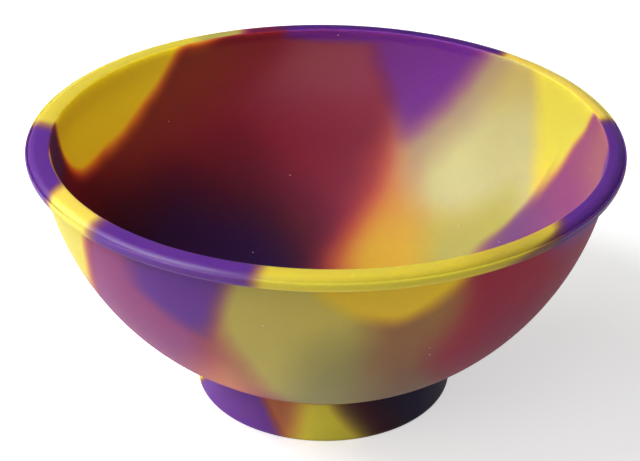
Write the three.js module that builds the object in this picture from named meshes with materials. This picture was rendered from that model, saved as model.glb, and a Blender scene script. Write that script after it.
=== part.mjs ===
// Silicone mixing bowl on a foot ring.
// The real bowl is one compression moulding. It is drawn as the three features that its mould forms: the
// thickened rim bead, the thin round wall with its floor, and the foot ring that the bowl stands on.
// Millimetres, +Z up, origin at the centre of the ground plane under the foot.
import * as THREE from "three";

// Overall size
const RIM_DIAMETER = 110;
const BOWL_HEIGHT = 52.7;

// Rim bead
const BEAD_HEIGHT = 2.7; // top land to the step under the bead
const BEAD_OVERHANG = 2.5; // how far the bead stands out from the wall below it
const INNER_EDGE_RADIUS = 0.3; // inner top edge, nearly sharp
const CROWN_WIDTH = 1.5; // outer part of the top land, which curves down to the parting groove
const CROWN_DROP = 0.6; // how far the crown comes down
const PARTING_WIDTH = 0.3; // groove that the mould's parting leaves between the crown and the ridge
const PARTING_DEPTH = 0.2; // below the end of the crown
const RIDGE_RADIUS = 0.3; // top of the ridge outside the groove
const LIP_RADIUS = 1.6; // lower outer edge, from the ridge round to the step

// Wall and floor
const WALL_AT_RIM = 1.8;
const FLOOR_THICKNESS = 2.6;
const STEP_FILLET = 0.5; // hollow corner between the wall and the step under the bead
const DOME_CLEARANCE = 3; // ground to the lowest point of the floor's underside

// Foot ring
const FOOT_DIAMETER = 49.8; // at the ground
const FOOT_WALL = 3.2; // thickness of the ring at the ground
const FOOT_OUTER_DRAFT = 1.5; // how much the outside closes in from the ground to the wall
const FOOT_INNER_DRAFT = 0.8; // how much the inside closes in from the ground to the floor
const FOOT_OUTER_EDGE = 1.2; // radius of the outer ground edge
const FOOT_INNER_EDGE = 0.5; // radius of the inner ground edge

// Fineness of the mesh
const TURN_STEPS = 72;
const WALL_STEP = 3.5; // longest straight step along the wall's profile
const EDGE_STEPS = 4; // steps round an edge

const rimRadius = RIM_DIAMETER / 2;
const beadBottom = BOWL_HEIGHT - BEAD_HEIGHT;
const wallOuter = rimRadius - BEAD_OVERHANG;
const wallInner = wallOuter - WALL_AT_RIM;
const floorTop = DOME_CLEARANCE + FLOOR_THICKNESS;

// The radius of an arc that starts level and comes to a point this far along and this far up or down.
const arcRadius = (along, rise) => (along ** 2 + rise ** 2) / (2 * rise);

// A sphere centred on the axis, with its lowest point at bottomZ and the given radius at height z.
function sphereThrough(bottomZ, radiusAtZ, z) {
  const radius = arcRadius(radiusAtZ, z - bottomZ);
  return { radius, centreZ: bottomZ + radius };
}

// The wall lies between these two. They aren't concentric, so it thickens from the rim to the floor.
const outerSphere = sphereThrough(DOME_CLEARANCE, wallOuter, beadBottom);
const innerSphere = sphereThrough(floorTop, wallInner, beadBottom);

const radiusOn = (sphere, z) => Math.sqrt(sphere.radius ** 2 - (sphere.centreZ - z) ** 2);
const heightOn = (sphere, r) => sphere.centreZ - Math.sqrt(sphere.radius ** 2 - r ** 2);

// A point of a profile: distance from the axis, and height.
const at = (r, z) => new THREE.Vector2(r, z);
const onSphere = (sphere, r) => at(r, heightOn(sphere, r));

// Points round an edge, from one angle to another in degrees.
function edge(r, z, radius, from, to) {
  const start = THREE.MathUtils.degToRad(from);
  const end = THREE.MathUtils.degToRad(to);
  const curve = new THREE.EllipseCurve(r, z, radius, radius, start, end, to < from);
  return curve.getPoints(EDGE_STEPS);
}

// Points along a sphere between two points on it, without those two, at even steps of angle.
function between(sphere, start, end) {
  const from = Math.atan2(start.y - sphere.centreZ, start.x);
  const to = Math.atan2(end.y - sphere.centreZ, end.x);
  const steps = Math.ceil((Math.abs(to - from) * sphere.radius) / WALL_STEP);
  const points = [];
  for (let i = 1; i < steps; i += 1) {
    const angle = from + ((to - from) * i) / steps;
    const r = sphere.radius * Math.cos(angle);
    const z = sphere.centreZ + sphere.radius * Math.sin(angle);
    points.push(at(r, z));
  }
  return points;
}

// Turns a profile about the bowl's axis.
function turned(name, profile, material) {
  const geometry = new THREE.LatheGeometry(profile, TURN_STEPS).rotateX(Math.PI / 2);
  const mesh = new THREE.Mesh(geometry, material);
  mesh.name = name;
  return mesh;
}

// A ring's profile closes on its own first point.
const closed = (profile) => [...profile, profile[0].clone()];

// The bead has a top land that is flat inside and crowned outside, which the upper half of the mould forms.
// The crown ends at the parting groove. Outside it the lower half forms a ridge, which turns under in a
// round lip to the step. The inside of the bead carries on the curve of the wall up to a crisp inner edge.
function rimBead(material) {
  const innerEdgeZ = BOWL_HEIGHT - INNER_EDGE_RADIUS;
  const innerEdgeR = radiusOn(innerSphere, innerEdgeZ) + INNER_EDGE_RADIUS;
  const ridgeR = rimRadius - RIDGE_RADIUS;
  const crownEndR = ridgeR - PARTING_WIDTH;
  const crownEndZ = BOWL_HEIGHT - CROWN_DROP;
  const crownStartR = crownEndR - CROWN_WIDTH;
  const crownRadius = arcRadius(CROWN_WIDTH, CROWN_DROP);
  const crownEnd = 90 - THREE.MathUtils.radToDeg(Math.asin(CROWN_WIDTH / crownRadius));
  const profile = [
    at(wallInner, beadBottom),
    ...edge(rimRadius - LIP_RADIUS, beadBottom + LIP_RADIUS, LIP_RADIUS, -90, 0),
    ...edge(ridgeR, crownEndZ - RIDGE_RADIUS, RIDGE_RADIUS, 0, 90),
    at(ridgeR - PARTING_WIDTH / 2, crownEndZ - PARTING_DEPTH),
    ...edge(crownStartR, BOWL_HEIGHT - crownRadius, crownRadius, crownEnd, 90),
    ...edge(innerEdgeR, innerEdgeZ, INNER_EDGE_RADIUS, 90, 180),
  ];
  return turned("rim_bead", closed(profile), material);
}

// The two circles on the outer sphere between which the foot ring grows out of the wall.
const footNeck = onSphere(outerSphere, FOOT_DIAMETER / 2 - FOOT_OUTER_DRAFT);
const footRoot = onSphere(outerSphere, FOOT_DIAMETER / 2 - FOOT_WALL - FOOT_INNER_DRAFT);

// From the dome under the floor, out past the foot, up the outside to the step, and back down the inside.
function bowlWall(material) {
  const filletZ = beadBottom - STEP_FILLET;
  const filletStart = at(radiusOn(outerSphere, filletZ), filletZ);
  const domeTop = at(0, DOME_CLEARANCE);
  const insideTop = at(wallInner, beadBottom);
  const insideFloor = at(0, floorTop);
  const profile = [
    domeTop,
    ...between(outerSphere, domeTop, footRoot),
    footRoot,
    footNeck,
    ...between(outerSphere, footNeck, filletStart),
    filletStart,
    ...edge(wallOuter + STEP_FILLET, filletZ, STEP_FILLET, 180, 90).slice(1),
    insideTop,
    ...between(innerSphere, insideTop, insideFloor),
    insideFloor,
  ];
  return turned("bowl_wall", profile, material);
}

// The foot ring flares to the ground, where both of its edges are rounded.
function footRing(material) {
  const groundOuter = FOOT_DIAMETER / 2;
  const groundInner = groundOuter - FOOT_WALL;
  const profile = [
    footRoot,
    ...edge(groundInner + FOOT_INNER_EDGE, FOOT_INNER_EDGE, FOOT_INNER_EDGE, 180, 270),
    ...edge(groundOuter - FOOT_OUTER_EDGE, FOOT_OUTER_EDGE, FOOT_OUTER_EDGE, -90, 0),
    footNeck,
  ];
  return turned("foot_ring", closed(profile), material);
}

// Soft satin silicone, marbled yellow and purple. Each feature takes one of the tints of the marbling.
const silicone = (color) => new THREE.MeshStandardMaterial({ color, roughness: 0.5, metalness: 0 });

const bowl = new THREE.Group();
bowl.name = "silicone_mixing_bowl";
bowl.add(rimBead(silicone(0xe3cf3e)));
bowl.add(bowlWall(silicone(0x94486a)));
bowl.add(footRing(silicone(0x5f3391)));

export default bowl;
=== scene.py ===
import math

import bpy
from mathutils import Color, Matrix, Vector


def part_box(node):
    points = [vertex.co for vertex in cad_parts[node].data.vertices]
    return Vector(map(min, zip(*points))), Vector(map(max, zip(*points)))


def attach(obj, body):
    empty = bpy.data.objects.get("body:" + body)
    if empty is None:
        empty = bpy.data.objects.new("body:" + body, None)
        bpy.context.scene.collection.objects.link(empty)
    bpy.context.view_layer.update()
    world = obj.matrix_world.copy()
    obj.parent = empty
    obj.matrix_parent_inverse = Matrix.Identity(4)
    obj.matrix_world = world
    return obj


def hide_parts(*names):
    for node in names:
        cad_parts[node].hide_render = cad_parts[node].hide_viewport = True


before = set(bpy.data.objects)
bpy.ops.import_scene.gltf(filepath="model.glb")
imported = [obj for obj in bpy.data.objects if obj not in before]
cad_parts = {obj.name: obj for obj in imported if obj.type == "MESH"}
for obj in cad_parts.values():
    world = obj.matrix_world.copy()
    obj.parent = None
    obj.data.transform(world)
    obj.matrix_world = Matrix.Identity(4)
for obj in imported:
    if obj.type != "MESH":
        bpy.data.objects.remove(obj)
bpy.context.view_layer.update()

# Lengths in this script are millimetres, and angles are degrees, until they go into Blender.
# Azimuth runs round the bowl's axis: 0 at the front, 90 on the viewer's right, 180 at the back.
MM = 0.001

# Sizes that the frame gives
bead_low, bead_high = [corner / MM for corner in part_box("rim_bead")]
wall_low, wall_high = [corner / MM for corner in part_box("bowl_wall")]
foot_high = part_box("foot_ring")[1] / MM
RIM_RADIUS = bead_high.x
HEIGHT = bead_high.z
BEAD_BOTTOM = bead_low.z
DOME_BOTTOM = wall_low.z
FOOT_RADIUS = foot_high.x

# Sizes that its boxes don't show, the same as in the CAD source
STEP_FILLET = 0.5  # hollow corner between the wall and the step under the bead
WALL_AT_RIM = 1.8
FLOOR_THICKNESS = 2.6
INNER_EDGE_RADIUS = 0.3
CROWN_WIDTH = 1.5  # outer part of the top land, which curves down to the parting groove
CROWN_DROP = 0.6
PARTING_WIDTH = 0.3  # groove that the mould's parting leaves between the crown and the ridge
PARTING_DEPTH = 0.2
RIDGE_RADIUS = 0.3
LIP_RADIUS = 1.6  # lower outer edge of the bead, from the ridge round to the step
FOOT_WALL = 3.2
FOOT_OUTER_DRAFT = 1.5  # how much the outside closes in from the ground to the wall
FOOT_INNER_DRAFT = 0.8  # how much the inside closes in from the ground to the floor
FOOT_OUTER_EDGE = 1.2
FOOT_INNER_EDGE = 0.5
WALL_OUTER = wall_high.x - STEP_FILLET
WALL_INNER = WALL_OUTER - WALL_AT_RIM

# How far the core of the mould sat off its axis: the top land is widest on the left, and a little wider
# at the back than at the front.
CORE_SHIFT = Vector((0.5, -0.2, 0))

# Fineness of the skin, and the angle from which its edges are sharp
TURN_STEPS = 288
WALL_STEP = 0.9
EDGE_STEPS = 8
SHARP_ANGLE = 50


def polar(radius, azimuth, z=0.0):
    """A point at a distance from the bowl's axis."""
    a = math.radians(azimuth)
    return Vector((radius * math.sin(a), -radius * math.cos(a), z))


# Profiles

def arc_radius(along, rise):
    """The radius of an arc that starts level, and ends this far along and this far up or down."""
    return (along ** 2 + rise ** 2) / (2 * rise)


class Sphere:
    """A sphere centred on the axis, with its lowest point at bottom and the given radius at height z."""

    def __init__(self, bottom, radius_at_z, z):
        self.radius = arc_radius(radius_at_z, z - bottom)
        self.centre = bottom + self.radius

    def r(self, z):
        return math.sqrt(self.radius ** 2 - (self.centre - z) ** 2)

    def point(self, r):
        return (r, self.centre - math.sqrt(self.radius ** 2 - r ** 2))

    def between(self, start, end):
        """Points along the sphere between two points on it, without those two."""
        first = math.atan2(start[1] - self.centre, start[0])
        last = math.atan2(end[1] - self.centre, end[0])
        steps = math.ceil(abs(last - first) * self.radius / WALL_STEP)
        angles = [first + (last - first) * i / steps for i in range(1, steps)]
        return [(self.radius * math.cos(a), self.centre + self.radius * math.sin(a)) for a in angles]


def edge(r, z, radius, first, last):
    """Points round an edge, from one angle to another."""
    angles = [math.radians(first + (last - first) * i / EDGE_STEPS) for i in range(EDGE_STEPS + 1)]
    return [(r + radius * math.cos(a), z + radius * math.sin(a)) for a in angles]


outer = Sphere(DOME_BOTTOM, WALL_OUTER, BEAD_BOTTOM)
inner = Sphere(DOME_BOTTOM + FLOOR_THICKNESS, WALL_INNER, BEAD_BOTTOM)
foot_neck = outer.point(FOOT_RADIUS - FOOT_OUTER_DRAFT)
foot_root = outer.point(FOOT_RADIUS - FOOT_WALL - FOOT_INNER_DRAFT)
RIDGE_R = RIM_RADIUS - RIDGE_RADIUS
CROWN_END_R = RIDGE_R - PARTING_WIDTH
CROWN_END_Z = HEIGHT - CROWN_DROP
EDGE_R = inner.r(HEIGHT - INNER_EDGE_RADIUS) + INNER_EDGE_RADIUS

# The silicone lets light through, so a face between two skins would show as a dark line on an open
# surface. The bead's skin meets the wall's in the parting groove and under the step, which are dark
# anyway.
GROOVE = (RIDGE_R - PARTING_WIDTH / 2, CROWN_END_Z - PARTING_DEPTH)
STEP_CORNER = (WALL_OUTER + STEP_FILLET, BEAD_BOTTOM)


def bead_outside():
    """From the groove over the ridge, and round the lip to the step."""
    return [
        GROOVE,
        *edge(RIDGE_R, CROWN_END_Z - RIDGE_RADIUS, RIDGE_RADIUS, 90, 0),
        *edge(RIM_RADIUS - LIP_RADIUS, BEAD_BOTTOM + LIP_RADIUS, LIP_RADIUS, 0, -90),
        STEP_CORNER,
    ]


def wall_inside():
    """From the middle of the floor up to the top land."""
    floor_top = (0, DOME_BOTTOM + FLOOR_THICKNESS)
    edge_z = HEIGHT - INNER_EDGE_RADIUS
    return [
        floor_top,
        *inner.between(floor_top, (inner.r(edge_z), edge_z)),
        *edge(EDGE_R, edge_z, INNER_EDGE_RADIUS, 180, 90),
    ]


def wall_outside():
    """From the crown to the groove, from the step down past the foot, and to the dome under the floor."""
    crown = arc_radius(CROWN_WIDTH, CROWN_DROP)
    crown_end = 90 - math.degrees(math.asin(CROWN_WIDTH / crown))
    fillet_z = BEAD_BOTTOM - STEP_FILLET
    fillet_start = (outer.r(fillet_z), fillet_z)
    dome = (0, DOME_BOTTOM)
    return [
        *edge(CROWN_END_R - CROWN_WIDTH, HEIGHT - crown, crown, 90, crown_end),
        GROOVE,
        *edge(STEP_CORNER[0], fillet_z, STEP_FILLET, 90, 180)[:-1],
        fillet_start,
        *outer.between(fillet_start, foot_neck),
        foot_neck,
        foot_root,
        *outer.between(foot_root, dome),
        dome,
    ]


def foot_outside():
    """From the neck down the outside, round the ground face and up the inside."""
    ground_inner = FOOT_RADIUS - FOOT_WALL
    return [
        foot_neck,
        *edge(FOOT_RADIUS - FOOT_OUTER_EDGE, FOOT_OUTER_EDGE, FOOT_OUTER_EDGE, 0, -90),
        *edge(ground_inner + FOOT_INNER_EDGE, FOOT_INNER_EDGE, FOOT_INNER_EDGE, 270, 180),
        foot_root,
    ]


# Skins

def add_object(name, data):
    """A new object in the scene."""
    thing = bpy.data.objects.new(name, data)
    bpy.context.collection.objects.link(thing)
    return thing


def ring(r, z, shift):
    """One profile point turned about an axis; a point on the axis stays one point."""
    count = TURN_STEPS if r > 0 else 1
    return [(polar(r, 360 * i / count, z) + shift) * MM for i in range(count)]


def bridge(a, b):
    """Faces between two rings, each given as the numbers of its points."""
    turn = [(i, (i + 1) % TURN_STEPS) for i in range(TURN_STEPS)]
    if len(a) == 1:
        return [(a[0], b[n], b[i]) for i, n in turn]
    if len(b) == 1:
        return [(a[i], a[n], b[0]) for i, n in turn]
    return [(a[i], a[n], b[n], b[i]) for i, n in turn]


def turned(name, inside, outside, material):
    """A closed skin. The core of the mould formed the inside, about its own axis."""
    rings = [ring(r, z, CORE_SHIFT) for r, z in inside] + [ring(r, z, Vector()) for r, z in outside]
    points = [point for one in rings for point in one]
    starts = [sum(len(one) for one in rings[:i]) for i in range(len(rings))]
    numbers = [range(start, start + len(one)) for start, one in zip(starts, rings)]
    ends = numbers[1:] if len(numbers[0]) == 1 else numbers[1:] + numbers[:1]
    mesh = bpy.data.meshes.new(name)
    mesh.from_pydata(points, [], [face for a, b in zip(numbers, ends) for face in bridge(a, b)])
    mesh.materials.append(material)
    mesh.polygons.foreach_set("use_smooth", [True] * len(mesh.polygons))
    mesh.set_sharp_from_angle(angle=math.radians(SHARP_ANGLE))
    return add_object(name, mesh)


# Formulas for materials

NOISE_DETAIL = 2  # finer layers in every noise
NOISE_MIDDLE = 0.5  # a noise runs from 0 to 1


def put(tree, kind, inputs, output=0, **settings):
    """Adds a node with its settings, sets or links its inputs by number, and gives one of its outputs."""
    node = tree.nodes.new(kind)
    for name, value in settings.items():
        setattr(node, name, value)
    for number, value in inputs.items():
        if isinstance(value, Field):
            tree.links.new(value.socket, node.inputs[number])
        else:
            node.inputs[number].default_value = value
    return Field(node.outputs[output])


class Field:
    """A number or a vector that varies over a surface. A formula with it makes the nodes for it."""

    def __init__(self, socket):
        self.socket = socket
        self.tree = socket.id_data

    def math(self, operation, *others):
        return put(self.tree, "ShaderNodeMath", dict(enumerate((self, *others))), operation=operation)

    def vector(self, operation, inputs, output=0):
        return put(self.tree, "ShaderNodeVectorMath", {0: self, **inputs}, output, operation=operation)

    def __add__(self, other):
        return self.math("ADD", other)

    def __sub__(self, other):
        return self.math("SUBTRACT", other)

    def __mul__(self, other):
        return self.math("MULTIPLY", other)

    def __truediv__(self, other):
        return self.math("DIVIDE", other)

    def plus(self, other):
        return self.vector("ADD", {1: other})

    def scaled(self, factor):
        return self.vector("SCALE", {3: factor})

    def dot(self, x, y, z):
        return self.vector("DOT_PRODUCT", {1: (x, y, z)}, output=1)

    def distance(self, x, y, z):
        return self.vector("DISTANCE", {1: (x, y, z)}, output=1)

    def flat(self):
        """This place moved to height 0."""
        return self.vector("MULTIPLY", {1: (1, 1, 0)})

    def part(self, axis):
        return put(self.tree, "ShaderNodeSeparateXYZ", {0: self}, output=axis)

    def least(self, other, rounding):
        return self.math("SMOOTH_MIN", other, rounding)

    def ramp(self, low, high):
        """0 up to low, 1 from high on, and a soft step between them."""
        ends = {0: self, 1: low, 2: high}
        return put(self.tree, "ShaderNodeMapRange", ends, interpolation_type="SMOOTHSTEP")

    def mixed(self, other, amount):
        """This vector where the amount is 0, and the other where it is 1."""
        inputs = {0: amount, 4: self, 5: other}
        return put(self.tree, "ShaderNodeMix", inputs, output=1, data_type="VECTOR")

    def noise(self, size, output=0):
        """Soft noise with lumps of about this size. Output 0 is a number, and output 1 a vector."""
        return put(self.tree, "ShaderNodeTexNoise", {0: self, 2: 1 / size, 3: NOISE_DETAIL}, output)


def joined(x, y, z):
    """A vector from its three parts."""
    return put(x.tree, "ShaderNodeCombineXYZ", {0: x, 1: y, 2: z})


def surface_place(tree):
    """Where each point of the surface is."""
    return put(tree, "ShaderNodeTexCoord", {}, output=3).scaled(1 / MM)


def new_material(name):
    """A material, its tree and its shader."""
    material = bpy.data.materials.new(name)
    material.use_nodes = True
    return material, material.node_tree, material.node_tree.nodes["Principled BSDF"]


# Marbling

PIGMENTS = {
    "lemon": 0xFCCF4C,
    "honey": 0xFFCA42,
    "corn": 0xD0BC3E,
    "mustard": 0xBDA83A,
    "primrose": 0xFDE955,
    "pale lemon": 0xECCD54,
    "amber": 0xC6A428,
    "gold": 0xCEA028,
    "khaki": 0xBEB480,
    # A paler khaki, partly the silicone's own, partly a painted sheen
    "pale khaki": 0xCAC48E,
    "straw": 0xA89C50,
    "moss": 0x7E7A4A,
    "olive": 0xAAA250,
    "tan": 0xBCA868,
    "dun": 0xA48C7C,
    "drab": 0x6A4E3C,
    "orange": 0xCC7444,
    "salmon": 0xC07450,
    "pink": 0x98566C,
    "brown": 0x765040,
    "rust": 0x802638,
    "maroon": 0x781238,
    # Dark plum; on the outside of the wall on the right it also carries painted shade
    "plum": 0x6A083A,
    "rose": 0x8A305C,
    "mauve": 0x883E76,
    "violet": 0x663A74,
    "lilac": 0x7A44A6,
    "grape": 0x6A2296,
    "purple": 0x5A2888,
    "indigo": 0x4C1674,
    "wine": 0x440A26,
    # Near-black purple: partly the silicone's own deep purple, partly painted shade where the bowl lies
    # in its own shadow
    "night": 0x220448,
}


def density(pigment):
    """How strongly a pigment takes red, green and blue from the light. Mixed pigments add up."""
    code = PIGMENTS[pigment]
    shade = Color(((code >> 16 & 255) / 255, (code >> 8 & 255) / 255, (code & 255) / 255))
    return Vector([-math.log(part) for part in shade.from_srgb_to_scene_linear()])


# The wall is drawn as a round map seen from above. A point's distance from the middle is its angle up the
# wall from the bottom, about 84 at the rim, as seen from the height MAP_CENTRE on the axis. Inside and
# outside share the map, as the colours go through the wall. Each zone has its pigment and its corners,
# which make a convex shape. A corner gives its place on the map, to the right and to the back, and how
# soft the border is that runs from it to the next corner. A few zones also carry painted shade or a
# painted sheen, as said at each.
MAP_CENTRE = 56.2
WALL_BASE = "maroon"
WALL_ZONES = [
    ("rose", [(-25, 66, 10), (-10, 90, 10), (20, 90, 8), (18, 66, 10)]),
    ("rust", [(-78, 4, 7), (-58, 20, 10), (-40, 48, 12), (-22, 84, 12), (-60, 90, 8), (-90, 40, 8)]),
    ("wine", [(-65, 6, 10), (-49, 34, 12), (-23, 52, 12), (-2, 40, 10), (2, 10, 12), (-30, -15, 12)]),
    # Painted shade, partly: the near-black low inside on the left, in the shadow of the left rim, is
    # partly laid on as paint over the deep purple
    ("night", [(-55, 14, 10), (-41, 37, 10), (-14, 38, 8), (-5, 24, 8), (-11, 0, 10), (-40, -4, 10)]),
    ("orange", [(-1, 24, 8), (10.5, 46, 10), (17, 58, 6), (28, 58, 6), (26, 22, 6)]),
    ("khaki", [(20, 20, 9), (22, 64, 5), (60, 72, 3), (80, 60, 3), (78, 46, 3), (64, 24, 5), (40, 8, 7)]),
    # Painted sheen, partly: a paler khaki where the key lamp lights the inside most, standing partly for
    # the soft sheen there
    ("pale khaki", [(28, 42, 8), (34, 54, 8), (46, 50, 8), (40, 36, 8)]),
    ("gold", [(2, 10, 8), (5.5, 34, 6), (16, 42, 9), (36, 24, 8), (34, 6, 8)]),
    ("olive", [(22, 14, 6), (26, 32, 6), (50, 30, 6), (50, 14, 6)]),
    ("tan", [(48, 58, 6), (54, 70, 5), (80, 60, 5), (68, 42, 5)]),
    ("lemon", [(54, 20, 4), (61, 34, 5), (72, 54, 4), (100, 62, 3), (100, 0, 3), (60, 12, 3)]),
    ("dun", [(25, 50, 7), (24, 60, 6), (60, 70, 6), (66, 60, 7)]),
    ("grape", [(23.5, 58, 5), (60, 66.5, 3), (60, 100, 3), (14, 100, 5), (17, 74, 5)]),
    ("mauve", [
        (40, 19, 2), (56, 21.2, 2.4), (71, 20.1, 2.2), (81, 16.7, 1.8), (97, 7.8, 3),
        (97, -26, 8), (62, -20, 8), (40, 6, 8),
    ]),
    ("pink", [(74, 14, 8), (97, 8, 3), (97, -26, 8), (70, -20, 8)]),
    ("violet", [(34, 8, 6), (42, 20.5, 2), (56, 22.3, 14), (56, 10, 14), (48, 0, 8)]),
    ("honey", [
        (-76, 4, 3), (-69.5, 8.5, 2.6), (-52, 60, 2.4), (-46, 90, 3), (-120, 60, 3), (-110, -6, 2.5),
    ]),
    ("honey", [(-53, 56, 2.4), (-40, 75, 3), (-26, 84, 3), (-40, 110, 3), (-80, 90, 3)]),
    ("grape", [(-14, 83.4, 1.2), (20, 82, 1.5), (24, 100, 3), (-14, 100, 3)]),
    ("purple", [(-76, 3, 3), (-74, -8, 4), (-90, -14, 4), (-98, 6, 3)]),
    ("mauve", [
        (-54, -30, 4), (-63, -53, 1.6), (-64, -84, 3), (-30, -84, 6), (-24, -60, 9), (-20, -38, 9),
        (-28, -16, 8),
    ]),
    ("pale lemon", [
        (-54, -32, 2.6), (-62.2, -53, 3.2), (-73.2, -70, 2), (-110, -60, 3), (-110, -14, 5),
        (-60, -14, 6),
    ]),
    ("salmon", [(-28, -50, 7), (-22, -58, 7), (-14, -50, 7), (-14, -34, 7), (-26, -34, 7)]),
    ("straw", [(-28.5, -66, 5), (-30, -96, 3), (18, -96, 6), (18, -60, 6), (14, -30, 8), (-8, -35.5, 8)]),
    ("moss", [(-10, -36, 8), (-3, -68, 8), (12, -72, 8), (18, -36, 8)]),
    # Painted shade, partly: a darker plum on the outside right, the side away from the lamps, where the
    # floor beside it lay in shadow
    ("plum", [(30, -20, 8), (36, -74, 8), (60, -84, 8), (110, -50, 8), (110, -14, 8)]),
    ("drab", [(9, -30, 9), (11, -66, 6), (22, -68, 6), (27, -30, 8)]),
    ("purple", [(-47, -60, 3), (-27.2, -62, 3.5), (-22.2, -92, 2), (-62, -84, 6)]),
    ("brown", [(12, -60, 7), (12, -80, 6), (38, -80, 6), (36, -70, 8), (29, -60, 8)]),
    ("amber", [
        (-2, -82, 2.5), (8, -75.5, 2.5), (18, -71.3, 2), (27, -71.9, 2.5), (38, -74.8, 3),
        (40, -100, 3), (-2, -100, 3),
    ]),
    ("purple", [(80, -12, 4), (58, -56, 4), (64, -90, 4), (110, -50, 4), (110, -12, 4)]),
]

# The rim bead is drawn in sectors, and so is the foot ring. Each sector has its pigment, how soft its
# borders are in degrees, and its first and last border. A border gives its azimuth and how far that turns
# with each millimetre outwards over the bead, or up the foot.
RIM_BASE = "corn"
RIM_SECTORS = [
    ("purple", 3, (-91, -0.5), (-62.6, 0.8)),
    ("pale lemon", 2.5, (-62.6, 0.8), (-46, 0.3)),
    ("purple", 2.5, (-46, 0.3), (-10.9, -0.1)),
    ("corn", 2.5, (-10.9, -0.1), (47, -1.5)),
    ("mustard", 6, (27, 0), (47, -1.5)),
    ("brown", 4, (54, -4), (75, -1)),
    ("purple", 3, (49, -1), (96, 0.4)),
    ("pale lemon", 2, (97, 0.4), (135, 0.4)),
    ("indigo", 2, (136, 0.4), (199, -0.5)),
    ("plum", 5, (191, -0.5), (201, -0.5)),
    ("olive", 3, (200, -0.5), (211, -0.5)),
]
FOOT_BASE = "maroon"
FOOT_SECTORS = [
    ("pale lemon", 3, (-125, 0), (-77, 2)),
    ("lilac", 3, (-77, 2), (-16, -1.6)),
    ("salmon", 4, (-18, -1.6), (-9, 0.9)),
    ("primrose", 8, (-16, 0.4), (34, -1.8)),
    ("drab", 7, (20, -1.7), (40, -1.5)),
    ("wine", 7, (29, -1.5), (60, 0)),
    # Painted shade, partly: the near-black on the right of the foot ring, the side away from the lamps,
    # is darkened as paint beyond its purple
    ("night", 12, (38, -1), (78, 0)),
    ("purple", 5, (78, 0), (125, 0.5)),
    ("gold", 5, (125, 0.5), (160, 1)),
    ("violet", 5, (185, 1), (215, 1)),
]

# How far the corners of a shape are rounded, as a multiple of how soft its borders are
CORNER_ROUNDING = 1

# Soft noise with lumps of this size moves the zones of the wall about, by up to half its reach each way.
DRIFT_LUMPS = 16
DRIFT_REACH = 3

# The colours of the rim and of the foot take over from those of the wall softly, between two distances.
# They are measured outwards, for the rim from the start of its top land, and for the foot from the wall.
# The rim's colours end a little below the step.
RIM_TAKES_OVER = (-0.3, 0.1)
RIM_END = BEAD_BOTTOM - 0.01
FOOT_TAKES_OVER = (0.05, 0.8)


def zone(chart, corners):
    """1 inside a convex shape on the map and 0 outside it, with soft borders and rounded corners."""
    points = [Vector(corner[:2]) for corner in corners]
    middle = sum(points, Vector((0, 0))) / len(points)
    inside = None
    for start, end, softness in zip(points, points[1:] + points[:1], [corner[2] for corner in corners]):
        across = Vector((start.y - end.y, end.x - start.x)).normalized() / softness
        if across.dot(middle - start) < 0:
            across.negate()
        depth = chart.dot(across.x, across.y, -across.dot(start))
        inside = inside.least(depth, CORNER_ROUNDING) if inside else depth
    return inside.ramp(-1, 1)


def sector(chart, softness, first, last):
    """1 between two borders that run out from the axis, and 0 outside them."""
    depths = []
    for (azimuth, lean), side in ((first, 1), (last, -1)):
        way = polar(side / math.radians(softness), azimuth + 90)
        depths.append(chart.dot(way.x, way.y, -side * lean / softness))
    return depths[0].least(depths[1], CORNER_ROUNDING).ramp(-1, 1)


def painted(chart, base, layers, shape):
    """Densities over a map: the base, with each layer's pigment laid over what was there."""
    paint = chart.scaled(0).plus(density(base))
    for pigment, *outline in layers:
        paint = paint.mixed(density(pigment), shape(chart, *outline))
    return paint


def core_distance(place):
    """How far a place is from the axis of the mould's core."""
    return place.flat().distance(*CORE_SHIFT)


def on_rim(place):
    """1 on the top land and on the outside of the bead, and 0 elsewhere."""
    outwards = core_distance(place) - EDGE_R
    return outwards.ramp(*RIM_TAKES_OVER) * place.part(2).math("GREATER_THAN", RIM_END)


def on_foot(place):
    """1 on the outside of the foot ring, and 0 elsewhere."""
    outwards = place.distance(0, 0, outer.centre) - outer.radius
    return outwards.ramp(*FOOT_TAKES_OVER) * place.part(2).math("LESS_THAN", foot_neck[1])


def marbling(place):
    """The colour of the silicone at a place, with the painted shade and sheen that a few zones carry."""
    drift = place.noise(size=DRIFT_LUMPS, output=1).plus([-NOISE_MIDDLE] * 3).scaled(DRIFT_REACH)
    moved = place.plus(drift)
    radius = moved.flat().vector("LENGTH", {}, output=1)
    x = moved.part(0) / radius
    y = moved.part(1) / radius
    angle = radius.math("ARCTAN2", moved.part(2) * -1 + MAP_CENTRE) * math.degrees(1)
    chart = joined(x * angle, y * angle, 1)
    paint = painted(chart, WALL_BASE, WALL_ZONES, zone)

    height = place.part(2)
    across = core_distance(place) - height + (HEIGHT - EDGE_R)
    rim_paint = painted(joined(x, y, across), RIM_BASE, RIM_SECTORS, sector)
    foot_paint = painted(joined(x, y, height), FOOT_BASE, FOOT_SECTORS, sector)
    paint = paint.mixed(rim_paint, on_rim(place)).mixed(foot_paint, on_foot(place))
    shades = [(paint.part(axis) * -1).math("EXPONENT") for axis in range(3)]
    return joined(*shades)


# Surface of the silicone

IOR = 1.41
SPECULAR = 0.35

# The mould was polished at the top of the rim and finely blasted elsewhere. The polish begins at the
# first of two heights, a little below the end of the crown, and is full at the second.
RIM_ROUGHNESS = 0.34
WALL_ROUGHNESS = 0.62
POLISH_RISES = (CROWN_END_Z - 1, CROWN_END_Z - 0.2)

# Red and green light pass through the thin wall, and blue hardly enters it. Light can't pass from one
# skin to the next, so in the thick bead and foot it's let in less far, or they would lose it.
LIGHT_DEPTH = (10, 9, 1)
THICK_SHARE = 0.25

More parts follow.
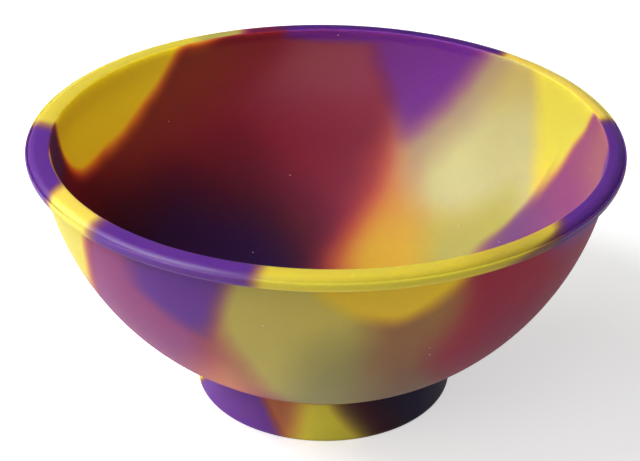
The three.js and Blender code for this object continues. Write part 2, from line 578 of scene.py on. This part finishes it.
# Dust: about one grain to so many millimetres each way, solid as far as its inner radius
DUST_SPACING = 11
DUST_CELL = 2.5
DUST_RADIUS = 0.2
DUST_INNER_RADIUS = 0.06
DUST_COLOUR = (0.6, 0.55, 0.6)

# Unevenness of a moulded skin: soft waves with a fine grain on them
WAVE_LENGTH = 3
WAVE_HEIGHT = 0.05
GRAIN_LENGTH = 0.5
GRAIN_HEIGHT = 0.006


def polished(place):
    """1 on top of the rim, and 0 from its lip down and elsewhere."""
    return on_rim(place) * place.part(2).ramp(*POLISH_RISES)


def light_depth(place):
    """How far light goes in at a place, as a share of the depths above."""
    thick = on_rim(place).math("MAXIMUM", on_foot(place))
    return thick * (THICK_SHARE - 1) + 1


def dust(place):
    """1 on a few small grains of dust, and 0 elsewhere."""
    cells = {0: place, 2: 1 / DUST_CELL}
    distance = put(place.tree, "ShaderNodeTexVoronoi", cells)
    grain = distance.ramp(DUST_RADIUS / DUST_CELL, DUST_INNER_RADIUS / DUST_CELL)
    chance = put(place.tree, "ShaderNodeTexVoronoi", cells, output=1).part(0)
    return grain * chance.math("LESS_THAN", (DUST_CELL / DUST_SPACING) ** 2)


def unevenness(place):
    """The slight waviness of the skin, as a height."""
    return place.noise(size=WAVE_LENGTH) * WAVE_HEIGHT + place.noise(size=GRAIN_LENGTH) * GRAIN_HEIGHT


def silicone():
    """Satin silicone with its marbling."""
    material, tree, shader = new_material("marbled_silicone")
    place = surface_place(tree)
    colour = marbling(place).mixed(DUST_COLOUR, dust(place))
    roughness = polished(place) * (RIM_ROUGHNESS - WALL_ROUGHNESS) + WALL_ROUGHNESS
    bump = tree.nodes.new("ShaderNodeBump")
    bump.inputs["Distance"].default_value = MM
    tree.links.new(unevenness(place).socket, bump.inputs["Height"])
    tree.links.new(bump.outputs["Normal"], shader.inputs["Normal"])
    tree.links.new(colour.socket, shader.inputs["Base Color"])
    tree.links.new(roughness.socket, shader.inputs["Roughness"])
    shader.inputs["IOR"].default_value = IOR
    shader.inputs["Specular IOR Level"].default_value = SPECULAR
    shader.inputs["Subsurface Weight"].default_value = 1
    tree.links.new((light_depth(place) * MM).socket, shader.inputs["Subsurface Scale"])
    shader.inputs["Subsurface Radius"].default_value = LIGHT_DEPTH
    return material


def dress(name, node, inside, outside, material):
    """A skin that stands for one CAD node."""
    skin = turned(name, inside, outside, material)
    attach(skin, "root")
    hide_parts(node)


# Floor, light and camera

FLOOR_SIZE = 3000
FLOOR_COLOUR = (0.8, 0.8, 0.8, 1)
FLOOR_ROUGHNESS = 0.9
WHITE = (1, 1, 1, 1)

# The floor's glow near the bowl, and the distances between which it rises to 1, far from the lamps
FLOOR_GLOW = 0.58
GLOW_RISES = (200, 700)

WORLD_STRENGTH = 0.13

# Each lamp has a name, an azimuth, an elevation and a power in watts.
LAMP_DISTANCE = 700
LAMP_SIZE = 420
LAMPS = [
    ("key", -75, 51, 5),
    ("left_back", -115, 38, 1.5),
    ("front", -30, 38, 1.2),
]

# The photograph's viewing angle, found from the outline of the rim, the wall and the foot
CAMERA_ELEVATION = 28.52
CAMERA_DISTANCE = 314
CAMERA_ROLL = 0.51
CAMERA_AIM = Vector((-0.94, 0, 31.73))
CAMERA_LENS = 92.58
CAMERA_CLIP = 10


def white_floor():
    """Pale and plain. The camera sees it as white, with the bowl's shadow on it."""
    material, tree, shader = new_material("floor_white")
    shader.inputs["Base Color"].default_value = FLOOR_COLOUR
    shader.inputs["Roughness"].default_value = FLOOR_ROUGHNESS
    shader.inputs["Emission Color"].default_value = WHITE
    path = tree.nodes.new("ShaderNodeLightPath")
    seen, glossy, transmitted = [
        Field(path.outputs[name]) for name in ("Is Camera Ray", "Is Glossy Ray", "Is Transmission Ray")
    ]
    far = surface_place(tree).distance(0, 0, 0).ramp(*GLOW_RISES)
    glow = seen * (far * (1 - FLOOR_GLOW) + FLOOR_GLOW) + (glossy + transmitted) * FLOOR_GLOW
    tree.links.new(glow.socket, shader.inputs["Emission Strength"])
    return material


def add_floor():
    """A wide flat floor under the bowl."""
    half = FLOOR_SIZE / 2 * MM
    mesh = bpy.data.meshes.new("floor")
    corners = [(-half, -half, 0), (half, -half, 0), (half, half, 0), (-half, half, 0)]
    mesh.from_pydata(corners, [], [(0, 1, 2, 3)])
    mesh.materials.append(white_floor())
    floor = add_object("floor", mesh)


def add_world():
    """Even white light from all round."""
    world = bpy.data.worlds.new("studio")
    world.use_nodes = True
    background = world.node_tree.nodes["Background"]
    background.inputs["Color"].default_value = WHITE
    background.inputs["Strength"].default_value = WORLD_STRENGTH
    bpy.context.scene.world = world


def add_lamp(name, azimuth, elevation, power):
    """A round soft light that looks at the middle of the bowl."""
    data = bpy.data.lights.new(name, "AREA")
    data.shape = "DISK"
    data.size = LAMP_SIZE * MM
    data.energy = power
    rise = math.radians(elevation)
    way = polar(math.cos(rise), azimuth, math.sin(rise))
    lamp = add_object(name, data)
    lamp.location = (way * LAMP_DISTANCE + Vector((0, 0, HEIGHT / 2))) * MM
    lamp.rotation_mode = "QUATERNION"
    lamp.rotation_quaternion = (-way).to_track_quat("-Z", "Y")


def add_camera():
    """A camera at the photograph's viewing angle."""
    data = bpy.data.cameras.new("camera")
    data.lens = CAMERA_LENS
    data.clip_start = CAMERA_CLIP * MM
    rise = math.radians(CAMERA_ELEVATION)
    way = polar(math.cos(rise), 0, math.sin(rise))
    aim = (-way).to_track_quat("-Z", "Y").to_matrix() @ Matrix.Rotation(math.radians(CAMERA_ROLL), 3, "Z")
    camera = add_object("camera", data)
    camera.matrix_world = Matrix.Translation((CAMERA_AIM + way * CAMERA_DISTANCE) * MM) @ aim.to_4x4()
    bpy.context.scene.camera = camera


marbled = silicone()
dress("rim_bead_skin", "rim_bead", [], bead_outside(), marbled)
dress("bowl_wall_skin", "bowl_wall", wall_inside(), wall_outside(), marbled)
dress("foot_ring_skin", "foot_ring", [], foot_outside(), marbled)

add_floor()
add_world()
for lamp in LAMPS:
    add_lamp(*lamp)
add_camera()
bpy.context.scene.view_settings.view_transform = "Standard"
